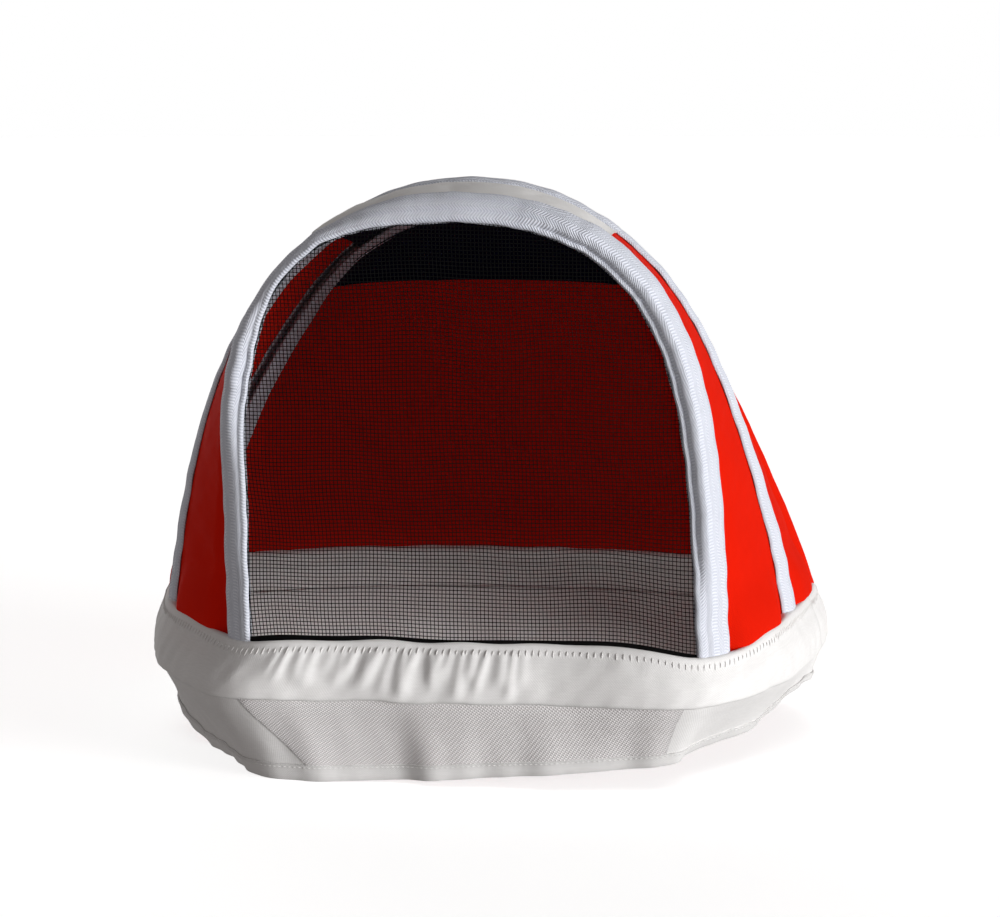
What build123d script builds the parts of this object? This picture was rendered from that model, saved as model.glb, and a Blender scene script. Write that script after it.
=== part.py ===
"""Detachable beekeeping hood: three spring hoops, a net veil, sewn gores, a collar band and a skirt.

Frame: +X is the wearer's left, +Y the back of the head, +Z up. The origin is on the surface that the hem
stands on, below the middle of the whole hood. Lengths are millimetres. The hoops stand in vertical planes
one pitch apart, and the hood is pressed flat front to back for storage, towards the middle hoop.
"""

import math
import os

from build123d import *

# Driving dimensions
HOOP_PITCH = 104.0
MIDDLE_HOOP_Y = -48.0
FRONT_HOOP_Y = MIDDLE_HOOP_Y - HOOP_PITCH
REAR_HOOP_Y = MIDDLE_HOOP_Y + HOOP_PITCH
ROD_RADIUS = 2.0
FABRIC = 1.2
TAPE_THICKNESS = 1.0
LINING_THICKNESS = 0.8
TAPE_HALF_WIDTH = 12.0
OUTER_TAPE_RISE = 3.2
INNER_TAPE_DROP = 4.8
PANEL_GAP = 2.0
FOOT_Z = 89.0

# The crown's first share of an outline from foot to foot, the share left free for its seam, and its lining
CROWN_START = 0.37
SEAM_SHARE = 0.002
LINING_DROP = 2.5

# The front tapes turn from the veil round to the gores: offsets at their front and rear edges
FRONT_TAPE_DEPTH = 18.0
FRONT_TAPE_SHIFT = 1.6
FRONT_OUTER_OFFSETS = (-6.0, 8.0)
FRONT_INNER_OFFSETS = (-10.0, 4.0)

# Foot caps: a bore that clears the rod, and the rod's run below the hood's edge
CAP_RADIUS = 3.5
CAP_LENGTH = 12.0
CAP_BORE_DEPTH = 7.0
BORE_CLEARANCE = 0.15
FOOT_RUN = 10.0

# The veil and its bottom binding
VEIL_THICKNESS = 1.0
VEIL_INSET = 12.0
VEIL_BOTTOM_Z = 93.0
BINDING_HEIGHT = 4.0
BINDING_THICKNESS = 1.6

# Points along a lofted outline
PANEL_POINTS = 9
TAPE_POINTS = 15
VEIL_POINTS = 17
BACK_POINTS = 7

# Each hoop's half outline from its foot to its apex, as (distance from the middle plane, height)
FRONT_HALF = [(147, 89), (146, 150), (143, 205), (136, 252), (120, 294), (86, 331), (46, 348), (0, 353)]
MIDDLE_HALF = [(197, 89), (186, 152), (170, 209), (150, 257), (122, 299), (84, 333), (43, 353), (0, 359)]
REAR_HALF = [(208, 89), (192, 135), (175, 178), (154, 222), (128, 264), (95, 305), (50, 332), (0, 341)]

# The collar's plan outline at its top edge, from the front's middle to the back's, on the wearer's left
RING_HALF = [
    (0, -170.3), (75, -169.2), (138, -165), (160, -141), (189, -83), (204, -18),
    (210, 42), (198, 94), (152, 132), (82, 155), (0, 162),
]
RING_CENTRE_Y = -2.0
RING_HALF_WIDTH = 210.0
RING_HALF_DEPTH = 164.0

# The collar's shape down its height: (height, growth at the sides, growth at the front and back)
COLLAR_TOP_Z = 87.5
SEAM_Z = 56.0
BAND_LEVELS = [(COLLAR_TOP_Z, 4.5, 1.0), (78, 9, 6.5), (68, 12, 8), (61, 12.5, 8.5), (SEAM_Z + 0.5, 11, 8)]
SKIRT_LEVELS = [(SEAM_Z - 0.5, 9.5, 6.5), (34, 3, 1), (16, -6, -5), (0, -14, -10)]
HEM_DEPTH = 9.0
HEM_THICKNESS = 0.8
HEM_CLEARANCE = 0.2
SIDE_ARCH_RISE = 14.0
SIDE_ARCH_RADIUS = 230.0
SIDE_ARCH_Y = -8.0
SIDE_SEAM_Y = -2.0
SKIRT_FRONT_HALF_WIDTH = 128.0
SKIRT_SIDE_BACK_Y = 82.0

# Half the size of the cutting boxes and side views, past the whole hood
REACH = 300.0

# The back shell: (height, depth behind the rear tape)
BACK_EDGE_Y = REAR_HOOP_Y + TAPE_HALF_WIDTH + PANEL_GAP
BACK_LEVELS = [(FOOT_Z, 92), (130, 103), (170, 108.4), (210, 105), (250, 93), (283, 76)]

# The crown's rear cap: its rear edge and the directions of its lines at both ends
CAP_EDGE_Z = 285.0
CAP_EDGE_DEPTH = 74.5
CAP_EDGE_SLOPE = (-0.5, 1.0)
CAP_TOP_SLOPE = (-1.0, 0.3)
CAP_SHARES = (-0.96, -0.8, -0.5, 0.0, 0.5, 0.8, 0.96)

pieces = []


def keep(part, name):
    """Names a finished piece."""
    part.label = name
    pieces.append(part)


def hood_outline(y):
    """The hood's cross-section at depth y, foot to foot: a quadratic through the three hoops."""
    s = (y - MIDDLE_HOOP_Y) / HOOP_PITCH
    weights = (s * (s - 1) / 2, 1 - s * s, s * (s + 1) / 2)
    half = []
    for triple in zip(FRONT_HALF, MIDDLE_HALF, REAR_HALF):
        x = sum(w * p[0] for w, p in zip(weights, triple))
        z = sum(w * p[1] for w, p in zip(weights, triple))
        half.append((x, z))
    return [(-x, z) for x, z in half[:-1]] + half[::-1]


def offset_points(outline, distance, start=0.0, end=1.0, count=PANEL_POINTS):
    """Points along a cross-section, moved outwards by a distance in its own plane."""
    with BuildLine() as section:
        Spline(*outline)
    curve = section.line
    points = []
    for i in range(count):
        t = start + (end - start) * i / (count - 1)
        place = curve @ t
        along = curve % t
        points.append((place.X - along.Y * distance, place.Y + along.X * distance))
    return points


def strip_section(y, outer, inner):
    """One closed cross-section between two point rows, in the vertical plane at depth y."""
    with BuildSketch(Plane.XZ.offset(-y)) as section:
        with BuildLine():
            Spline(*outer)
            Line(outer[-1], inner[-1])
            Spline(*inner)
            Line(inner[0], outer[0])
        make_face()
    return section.sketch


def hood_strip(stations, thickness, start=0.0, end=1.0, count=PANEL_POINTS):
    """A shell lofted along the hood: stations are (depth, depth whose outline is used, outward offset)."""
    sections = []
    for y, outline_y, distance in stations:
        outline = hood_outline(outline_y)
        outer = offset_points(outline, distance + thickness / 2, start, end, count)
        inner = offset_points(outline, distance - thickness / 2, start, end, count)
        sections.append(strip_section(y, outer, inner))
    with BuildPart() as strip:
        loft(sections)
    return strip.part


def panel_stations(front_y, rear_y, distance=0.0):
    """Three stations on the hood's own surface."""
    middle_y = (front_y + rear_y) / 2
    return [(y, y, distance) for y in (front_y, middle_y, rear_y)]


def ring_outline(z, grow_side, grow_end):
    """The collar's plan outline at height z, grown at its sides and at its front and back."""
    half = []
    for x, y in RING_HALF:
        wide = x * (1 + grow_side / RING_HALF_WIDTH)
        deep = RING_CENTRE_Y + (y - RING_CENTRE_Y) * (1 + grow_end / RING_HALF_DEPTH)
        half.append((wide, deep))
    with BuildSketch(Plane.XY.offset(z)) as level:
        with BuildLine():
            Spline(*half, tangents=((1, 0), (-1, 0)))
            mirror(about=Plane.YZ)
        make_face()
    return level.sketch


def ring_shell(levels, thickness):
    """A closed wall through plan outlines at several heights."""
    with BuildPart() as shell:
        for inset, mode in ((0.0, Mode.ADD), (thickness, Mode.SUBTRACT)):
            loft([ring_outline(z, side - inset, end - inset) for z, side, end in levels], mode=mode)
    return shell.part


def side_arch_band(lift, height):
    """The side view between the hem line, raised by lift, and the same line raised by height more."""
    with BuildSketch(Plane.YZ) as view:
        with Locations((0, lift + height / 2)):
            Rectangle(2 * REACH, height)
        with Locations((SIDE_ARCH_Y, SIDE_ARCH_RISE + lift + height - SIDE_ARCH_RADIUS)):
            Circle(SIDE_ARCH_RADIUS)
        with Locations((SIDE_ARCH_Y, SIDE_ARCH_RISE + lift - SIDE_ARCH_RADIUS)):
            Circle(SIDE_ARCH_RADIUS, mode=Mode.SUBTRACT)
        with Locations((0, lift - REACH)):
            Rectangle(2 * REACH, 2 * REACH, mode=Mode.SUBTRACT)
    return view.sketch


# Hoops: spring rods with a cap on each foot
HOOPS = (("front", FRONT_HOOP_Y, -1.0), ("middle", MIDDLE_HOOP_Y, 0.0), ("rear", REAR_HOOP_Y, 0.0))

for hoop_name, hoop_y, rod_offset in HOOPS:
    arch = offset_points(hood_outline(hoop_y), rod_offset, count=TAPE_POINTS)
    left_foot, right_foot = arch[0], arch[-1]
    left_end = (left_foot[0], left_foot[1] - FOOT_RUN)
    right_end = (right_foot[0], right_foot[1] - FOOT_RUN)
    with BuildPart() as rod:
        with BuildLine(Plane.XZ.offset(-hoop_y)) as path:
            Spline(left_end, *arch[1:-1], right_end)
        with BuildSketch(Plane(origin=path.line @ 0, z_dir=path.line % 0)):
            Circle(ROD_RADIUS)
        sweep(path=path.line)
    keep(rod.part, f"{hoop_name}_hoop")
    with BuildPart() as caps:
        for end, into in ((0, 1), (1, -1)):
            direction = (path.line % end) * into
            tip = (path.line @ end) - direction * (CAP_LENGTH - CAP_BORE_DEPTH)
            with BuildSketch(Plane(origin=tip, z_dir=direction)):
                Circle(CAP_RADIUS)
            extrude(amount=CAP_LENGTH)
            with BuildSketch(Plane(origin=path.line @ end, z_dir=direction)):
                Circle(ROD_RADIUS + BORE_CLEARANCE)
            extrude(amount=CAP_LENGTH, mode=Mode.SUBTRACT)
    keep(caps.part, f"{hoop_name}_foot_caps")

# Front tapes: the folded binding turns from the veil round to the gores
front_edge = FRONT_HOOP_Y - FRONT_TAPE_DEPTH / 2
rear_edge = FRONT_HOOP_Y + FRONT_TAPE_DEPTH / 2
for side_name, shift, (front_offset, rear_offset) in (
    ("outer", -FRONT_TAPE_SHIFT, FRONT_OUTER_OFFSETS),
    ("inner", FRONT_TAPE_SHIFT, FRONT_INNER_OFFSETS),
):
    front_station = (front_edge + shift, FRONT_HOOP_Y, front_offset)
    rear_station = (rear_edge + shift, FRONT_HOOP_Y, rear_offset)
    tape = hood_strip([front_station, rear_station], TAPE_THICKNESS, count=TAPE_POINTS)
    keep(tape, f"front_tape_{side_name}")

# Middle and rear tapes lie flat on the hood's surface, one outside and one inside the rod
for tape_name, tape_y in (("middle", MIDDLE_HOOP_Y), ("rear", REAR_HOOP_Y)):
    for side_name, side_offset in (("outer", OUTER_TAPE_RISE), ("inner", -INNER_TAPE_DROP)):
        stations = panel_stations(tape_y - TAPE_HALF_WIDTH, tape_y + TAPE_HALF_WIDTH, side_offset)
        tape = hood_strip(stations, TAPE_THICKNESS, count=TAPE_POINTS)
        keep(tape, f"{tape_name}_tape_{side_name}")

# Gores and crown between the hoops, with a lining under the crown
bays = (
    ("front", rear_edge + FRONT_TAPE_SHIFT + PANEL_GAP, MIDDLE_HOOP_Y - TAPE_HALF_WIDTH - PANEL_GAP),
    ("rear", MIDDLE_HOOP_Y + TAPE_HALF_WIDTH + PANEL_GAP, REAR_HOOP_Y - TAPE_HALF_WIDTH - PANEL_GAP),
)
for bay_name, front_y, rear_y in bays:
    stations = panel_stations(front_y, rear_y)
    right_gore = hood_strip(stations, FABRIC, 0.0, CROWN_START - SEAM_SHARE)
    keep(right_gore, f"{bay_name}_gore_right")
    left_gore = hood_strip(stations, FABRIC, 1 - CROWN_START + SEAM_SHARE, 1.0)
    keep(left_gore, f"{bay_name}_gore_left")
    crown = hood_strip(stations, FABRIC, CROWN_START, 1 - CROWN_START)
    keep(crown, f"crown_{bay_name}")
    lining_stations = panel_stations(front_y, rear_y, -LINING_DROP)
    lining = hood_strip(lining_stations, LINING_THICKNESS, CROWN_START, 1 - CROWN_START)
    keep(lining, f"crown_lining_{bay_name}")

# The back panel: horizontal half-ellipse outlines behind the rear tape
rear_outline = hood_outline(BACK_EDGE_Y)


def half_width_at(z):
    """Half the width of the hood at the back panel's front edge, at height z."""
    half = [(x, height) for x, height in rear_outline if x >= 0]
    for (x0, z0), (x1, z1) in zip(half, half[1:]):
        low, high = sorted((z0, z1))
        if low <= z <= high:
            return x0 + (x1 - x0) * (z - z0) / (z1 - z0)
    return half[-1][0]


def back_curve(half_width, depth):
    """Points of a half ellipse round the back, from the wearer's right to left."""
    points = []
    for i in range(2 * BACK_POINTS + 1):
        angle = math.pi * i / (2 * BACK_POINTS)
        points.append((-half_width * math.cos(angle), BACK_EDGE_Y + depth * math.sin(angle)))
    return points


with BuildPart() as back:
    back_sections = []
    for z, depth in BACK_LEVELS:
        width = half_width_at(z)
        outer = back_curve(width + FABRIC / 2, depth + FABRIC / 2)
        inner = back_curve(width - FABRIC / 2, depth - FABRIC / 2)
        with BuildSketch(Plane.XY.offset(z)) as level:
            with BuildLine():
                Spline(*outer)
                Line(outer[-1], inner[-1])
                Spline(*inner)
                Line(inner[0], outer[0])
            make_face()
        back_sections.append(level.sketch)
    loft(back_sections)
keep(back.part, "back_panel")

# The crown's rear cap: curves from the rear tape down to the back panel's top edge


def height_at(x):
    """The hood's height at the back panel's front edge, at a distance x from the middle plane."""
    half = [(width, z) for width, z in rear_outline if width >= 0]
    for (x0, z0), (x1, z1) in zip(half, half[1:]):
        if x1 <= x <= x0 or x0 <= x <= x1:
            return z0 + (z1 - z0) * (x - x0) / (x1 - x0)
    return half[-1][1]


def cap_shell(drop, thickness):
    """The cap, moved inwards by drop."""
    half_width = half_width_at(CAP_EDGE_Z)
    sections = []
    for share in CAP_SHARES:
        x = share * half_width
        rise = height_at(abs(x)) - CAP_EDGE_Z - drop
        depth = CAP_EDGE_DEPTH * math.sqrt(1 - share * share) - drop
        rims = []
        for inset in (0.0, thickness):
            edge_point = (BACK_EDGE_Y + depth - inset, CAP_EDGE_Z)
            top_point = (BACK_EDGE_Y, CAP_EDGE_Z + rise - inset)
            rims.append((edge_point, top_point))
        with BuildSketch(Plane.YZ.offset(x)) as section:
            with BuildLine():
                for edge_point, top_point in rims:
                    Spline(edge_point, top_point, tangents=(CAP_EDGE_SLOPE, CAP_TOP_SLOPE))
                Line(rims[0][0], rims[1][0])
                Line(rims[0][1], rims[1][1])
            make_face()
        sections.append(section.sketch)
    with BuildPart() as cap:
        loft(sections)
    return cap.part


keep(cap_shell(0.0, FABRIC), "crown_cap")
keep(cap_shell(LINING_DROP, LINING_THICKNESS), "crown_cap_lining")

# The veil, a flat net in the front tape, with a binding along its bottom edge
veil_y = front_edge - VEIL_THICKNESS / 2
veil_edge = offset_points(hood_outline(FRONT_HOOP_Y), -VEIL_INSET, count=VEIL_POINTS)
veil_foot = veil_edge[-1][0]
with BuildPart() as veil:
    with BuildSketch(Plane.XZ.offset(-veil_y)):
        with BuildLine():
            Spline((-veil_foot, VEIL_BOTTOM_Z), *veil_edge[1:-1], (veil_foot, VEIL_BOTTOM_Z))
            Line((veil_foot, VEIL_BOTTOM_Z), (-veil_foot, VEIL_BOTTOM_Z))
        make_face()
    extrude(amount=VEIL_THICKNESS / 2, both=True)
keep(veil.part, "veil_net")
with BuildPart() as binding:
    with BuildSketch(Plane.XZ.offset(-veil_y)):
        with Locations((0, VEIL_BOTTOM_Z - BINDING_HEIGHT / 2)):
            Rectangle(2 * veil_foot, BINDING_HEIGHT)
    extrude(amount=BINDING_THICKNESS / 2, both=True)
keep(binding.part, "veil_binding")

# The collar band, split at its side seams
band = ring_shell(BAND_LEVELS, FABRIC)
for half_name, side in (("front", Keep.TOP), ("back", Keep.BOTTOM)):
    with BuildPart() as half_band:
        add(band)
        split(bisect_by=Plane.XZ.offset(-SIDE_SEAM_Y), keep=side)
    keep(half_band.part, f"collar_{half_name}")

# The skirt, cut to its hem line, in four panels
skirt = ring_shell(SKIRT_LEVELS, FABRIC)
side_width = REACH - SKIRT_FRONT_HALF_WIDTH
side_middle = (REACH + SKIRT_FRONT_HALF_WIDTH) / 2
side_length = SKIRT_SIDE_BACK_Y + REACH
side_centre_y = (SKIRT_SIDE_BACK_Y - REACH) / 2
back_length = REACH - SKIRT_SIDE_BACK_Y
panel_boxes = {
    "skirt_front": (0.0, side_centre_y, 2 * SKIRT_FRONT_HALF_WIDTH, side_length),
    "skirt_left": (side_middle, side_centre_y, side_width, side_length),
    "skirt_right": (-side_middle, side_centre_y, side_width, side_length),
    "skirt_back": (0.0, REACH - back_length / 2, 2 * REACH, back_length),
}
for panel_name, (x, y, width, length) in panel_boxes.items():
    with BuildPart() as panel:
        add(skirt)
        extrude(side_arch_band(0.0, SEAM_Z + HEM_DEPTH), amount=REACH, both=True, mode=Mode.INTERSECT)
        with Locations((x, y, 0)):
            Box(width, length, 2 * REACH, mode=Mode.INTERSECT)
    keep(panel.part, panel_name)

# The hem: a folded edge round the outside of the skirt
hem_growth = HEM_THICKNESS + HEM_CLEARANCE
hem_levels = [(z, side + hem_growth, end + hem_growth) for z, side, end in SKIRT_LEVELS]
with BuildPart() as hem:
    add(ring_shell(hem_levels, HEM_THICKNESS))
    extrude(side_arch_band(0.0, HEM_DEPTH), amount=REACH, both=True, mode=Mode.INTERSECT)
keep(hem.part, "hem_band")

os.makedirs("parts", exist_ok=True)
for piece in pieces:
    export_step(piece, f"parts/{piece.label}.step")
    print(piece.label, round(piece.volume), piece.is_valid)
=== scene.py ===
"""The looks of a detachable beekeeping hood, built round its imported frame.

Metres, in the frame's axes: +X the wearer's left, +Y the back of the head, +Z up; the veil faces -Y.
Every piece is a mesh worked out from the hood's hoop outlines and the collar's plan outline. A cloth piece
is a grid of points, whose rows cross the cloth and whose columns run along it, and each point keeps its own
metres along and across, so that weave and stitching follow the cloth.
"""

import math

import bpy
import numpy as np
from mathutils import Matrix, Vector


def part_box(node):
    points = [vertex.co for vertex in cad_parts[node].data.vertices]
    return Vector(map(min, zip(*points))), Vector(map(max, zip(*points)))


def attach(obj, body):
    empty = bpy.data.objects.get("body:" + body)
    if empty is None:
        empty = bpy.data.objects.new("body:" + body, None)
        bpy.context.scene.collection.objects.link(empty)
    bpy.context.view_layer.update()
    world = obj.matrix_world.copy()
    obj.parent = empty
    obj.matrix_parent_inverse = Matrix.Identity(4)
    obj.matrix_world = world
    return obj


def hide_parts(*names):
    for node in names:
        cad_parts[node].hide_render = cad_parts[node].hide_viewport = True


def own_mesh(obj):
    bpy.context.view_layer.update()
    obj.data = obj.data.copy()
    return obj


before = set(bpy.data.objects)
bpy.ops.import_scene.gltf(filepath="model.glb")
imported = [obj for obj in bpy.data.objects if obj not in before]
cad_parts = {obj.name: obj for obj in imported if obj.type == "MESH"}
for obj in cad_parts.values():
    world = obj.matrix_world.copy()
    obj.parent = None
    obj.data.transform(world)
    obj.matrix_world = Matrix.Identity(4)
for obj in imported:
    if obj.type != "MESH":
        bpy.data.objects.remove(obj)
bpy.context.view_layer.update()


# ---------------------------------------------------------------- driving dimensions

# Half outlines of the hoops, from foot to apex: distance from the middle plane, height
FRONT_HALF = (
    (0.147, 0.089), (0.146, 0.150), (0.143, 0.205), (0.136, 0.252),
    (0.120, 0.294), (0.086, 0.331), (0.046, 0.348), (0.000, 0.353),
)
MIDDLE_HALF = (
    (0.197, 0.089), (0.186, 0.152), (0.170, 0.209), (0.150, 0.257),
    (0.122, 0.299), (0.084, 0.333), (0.043, 0.353), (0.000, 0.359),
)
REAR_HALF = (
    (0.208, 0.089), (0.192, 0.135), (0.175, 0.178), (0.154, 0.222),
    (0.128, 0.264), (0.095, 0.305), (0.050, 0.332), (0.000, 0.341),
)


def middle_of(node):
    """The middle of a CAD node's box."""
    low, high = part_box(node)
    return (low + high) / 2


FRONT_Y = middle_of("front_hoop").y
MIDDLE_Y = middle_of("middle_hoop").y
REAR_Y = middle_of("rear_hoop").y
PITCH = REAR_Y - MIDDLE_Y

# The collar's plan outline, from the middle of the front to the middle of the back
RING_HALF = (
    (0.000, -0.1703), (0.075, -0.1692), (0.138, -0.165), (0.160, -0.141), (0.189, -0.083), (0.204, -0.018),
    (0.210, 0.042), (0.198, 0.094), (0.152, 0.132), (0.082, 0.155), (0.000, 0.162),
)
RING_CENTRE_Y = -0.002
RING_HALF_WIDTH = 0.210
RING_HALF_DEPTH = 0.164

CROWN_START = 0.37
# Taken as a hoop's length, to turn shares along it into metres
ARCH_LENGTH = 0.8
# Thicknesses
CLOTH = 0.0010
LINING = 0.0006
TAPE = 0.0008
BACK_EDGE_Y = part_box("back_panel")[0].y


# ---------------------------------------------------------------- curves and surfaces

def run_along(points):
    """The distance along a line of points at each of them."""
    return np.concatenate([[0.0], np.cumsum(np.linalg.norm(np.diff(points, axis=0), axis=1))])


def spline(points, shares):
    """Points at the given shares of a natural cubic spline's chord length."""
    points = np.asarray(points, float)
    knots = run_along(points)
    step = np.diff(knots)
    system = np.eye(len(points))
    right = np.zeros_like(points)
    for i in range(1, len(points) - 1):
        system[i, i - 1:i + 2] = step[i - 1], 2 * (step[i - 1] + step[i]), step[i]
        right[i] = 6 * ((points[i + 1] - points[i]) / step[i] - (points[i] - points[i - 1]) / step[i - 1])
    bend = np.linalg.solve(system, right)
    at = np.asarray(shares, float) * knots[-1]
    k = np.clip(np.searchsorted(knots, at, side="right") - 1, 0, len(step) - 1)
    h = step[k][:, None]
    b = ((at - knots[k]) / step[k])[:, None]
    a = 1 - b
    return a * points[k] + b * points[k + 1] + ((a**3 - a) * bend[k] + (b**3 - b) * bend[k + 1]) * h * h / 6


def with_outward(curve, shares, step=0.001):
    """Points of a plane curve and their outward directions, to the left of its run."""
    ahead = curve(shares + step) - curve(shares - step)
    ahead /= np.linalg.norm(ahead, axis=1)[:, None]
    return curve(shares), np.stack([-ahead[:, 1], ahead[:, 0]], axis=1)


def hood_row(y, outline_y, shares, offset):
    """Points across the hood, from the right foot to the left, in the vertical plane at depth y."""
    s = (outline_y - MIDDLE_Y) / PITCH
    weights = (s * (s - 1) / 2, 1 - s * s, s * (s + 1) / 2)
    half = sum(w * np.array(outline) for w, outline in zip(weights, (FRONT_HALF, MIDDLE_HALF, REAR_HALF)))
    outline = np.vstack([half * (-1, 1), half[-2::-1]])
    place, outward = with_outward(lambda t: spline(outline, t), shares)
    moved = place + outward * np.reshape(offset, (-1, 1))
    return np.stack([moved[:, 0], np.broadcast_to(y, len(shares)), moved[:, 1]], axis=1)


def hood_grid(ys, shares, offset=0.0, outline_ys=None):
    """A grid over the hood: one row for each depth, with an outward offset for each point."""
    offset = np.broadcast_to(offset, (len(ys), len(shares)))
    outline_ys = ys if outline_ys is None else outline_ys
    return np.array([hood_row(y, o, shares, row) for y, o, row in zip(ys, outline_ys, offset)])


RING_LOOP = [*RING_HALF, *[(-x, y) for x, y in RING_HALF[-2:0:-1]]]


def ring_row(shares, side, end, offset=0.0):
    """Plan points round the collar from the middle of the front towards the wearer's left."""
    loop = [
        (x * (1 + side / RING_HALF_WIDTH), RING_CENTRE_Y + (y - RING_CENTRE_Y) * (1 + end / RING_HALF_DEPTH))
        for x, y in RING_LOOP
    ]
    turns = [*loop, *loop, *loop, loop[0]]
    place, inward = with_outward(lambda t: spline(turns, (1 + t) / 3), shares)
    return place - inward * np.reshape(offset, (-1, 1))


def normals_of(grid):
    """The unit normals of a grid of points, to the outside of the hood."""
    along = np.gradient(grid, axis=1)
    across = np.gradient(grid, axis=0)
    normal = np.cross(across, along)
    return normal / np.maximum(np.linalg.norm(normal, axis=2, keepdims=True), 1e-12)


def own_metres(grid):
    """Each point's metres along and across the cloth."""
    along = np.cumsum(np.linalg.norm(np.diff(grid, axis=1, prepend=grid[:, :1]), axis=2), axis=1)
    along -= along[:, grid.shape[1] // 2][:, None]
    across = np.cumsum(np.linalg.norm(np.diff(grid, axis=0, prepend=grid[:1]), axis=2), axis=0)
    return along, across


def ripples(u, v, wavelength, seed, lean=0.35, count=8):
    """Soft irregular waves from about -1 to 1, whose crests run mostly along v. u and v are in metres."""
    random = np.random.default_rng(seed)
    total = 0.0
    for _ in range(count):
        turn = random.normal(0, lean)
        length = wavelength * random.uniform(0.6, 1.7)
        phase = random.uniform(0, 2 * math.pi)
        total = total + np.sin(2 * math.pi * (u * math.cos(turn) + v * math.sin(turn)) / length + phase)
    return total / math.sqrt(2 * count)


def ring_ripples(shares, z, waves, seed, lean=0.3, count=8):
    """Soft irregular waves round the whole ring, about so many of them, which meet where it closes."""
    random = np.random.default_rng(seed)
    total = 0.0
    for _ in range(count):
        whole = round(waves * random.uniform(0.6, 1.6))
        phase = random.uniform(0, 2 * math.pi)
        slant = random.normal(0, lean) * whole
        total = total + np.sin(2 * math.pi * (whole * shares + slant * z) + phase)
    return total / math.sqrt(2 * count)


def smooth_step(low, high, value):
    """0 below low, 1 above high, and a smooth change between."""
    t = np.clip((value - low) / (high - low), 0, 1)
    return t * t * (3 - 2 * t)


# ---------------------------------------------------------------- how the front hangs

# The hood leans a little: each hoop's sideways shift at some heights
FRONT_SWAY_HEIGHTS = (0.045, 0.089, 0.353)
FRONT_SWAYS = (0.0, 0.0078, -0.0025)
REST_SWAY_HEIGHTS = (0.089, 0.150, 0.210, 0.300, 0.356)
REST_SWAYS = (0.0, -0.0012, -0.0032, -0.0040, -0.0025)
# The front hoop's right leg stands further in at its foot: shift, and the heights that it fades between
RIGHT_LEG_SHIFT = 0.0032
RIGHT_LEG_FADE = (0.165, 0.225)
# The left side is pulled in a little between its foot and its shoulder
LEFT_DRAW = 0.0022
# The collar's top edge dips at the feet of the front hoop: place, depth, reach
DIPS = ((0.147, 0.0075, 0.034), (-0.147, 0.0030, 0.030))


def askew(points):
    """Points with the lean of the hoops, which blends from the front hoop's to that of the others."""
    x, y, z = points[..., 0], points[..., 1], points[..., 2]
    front = 1 - smooth_step(FRONT_Y + 0.005, MIDDLE_Y, y)
    dip = sum(depth * np.exp(-(((x - place) / reach) ** 2)) for place, depth, reach in DIPS)
    dip = dip * smooth_step(0.050, 0.080, z) * (1 - smooth_step(0.095, 0.190, z))
    front_shift = np.interp(z, FRONT_SWAY_HEIGHTS, FRONT_SWAYS)
    leg = smooth_step(0.060, 0.092, z) * (1 - smooth_step(*RIGHT_LEG_FADE, z))
    leg = leg * (1 - smooth_step(-0.140, -0.090, x))
    front_shift = front_shift + RIGHT_LEG_SHIFT * leg
    drawn = LEFT_DRAW * smooth_step(0.110, 0.170, z) * (1 - smooth_step(0.240, 0.320, z))
    drawn = drawn * smooth_step(0.08, 0.15, x)
    rest_shift = np.interp(z, REST_SWAY_HEIGHTS, REST_SWAYS) - drawn
    return np.stack([x + front * front_shift + (1 - front) * rest_shift, y, z - front * dip], axis=-1)


# ---------------------------------------------------------------- meshes

piece_count = 0


SHARP_ANGLE = math.radians(50)
# Sets one piece's mottle apart from the next one's
PIECE_STEP = 0.37


def add_piece(name, vertices, faces, cloth, edge, material, body):
    """A mesh object with its cloth metres and its weights for painted shade along its edges, which rides on a
    body.
    """
    global piece_count
    piece_count += 1
    mesh = bpy.data.meshes.new(name)
    mesh.from_pydata(askew(vertices.reshape(-1, 3)).tolist(), [], [list(face) for face in faces])
    mesh.shade_smooth()
    mesh.set_sharp_from_angle(angle=SHARP_ANGLE)
    cloth = np.asarray(cloth, np.float32).reshape(-1, 2)
    own = np.column_stack([cloth, np.full(len(cloth), piece_count * PIECE_STEP, np.float32)])
    metres = own.astype(np.float32).ravel()
    mesh.attributes.new("cloth", "FLOAT_VECTOR", "POINT").data.foreach_set("vector", metres)
    edge_shade = np.asarray(edge, np.float32).ravel()
    mesh.attributes.new("edge", "FLOAT", "POINT").data.foreach_set("value", edge_shade)
    mesh.materials.append(materials[material])
    piece = bpy.data.objects.new(name, mesh)
    bpy.context.scene.collection.objects.link(piece)
    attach(piece, body)
    return piece


# How far in from a sheet's edges its painted shade reaches
EDGE_REACH = 0.0025


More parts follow.
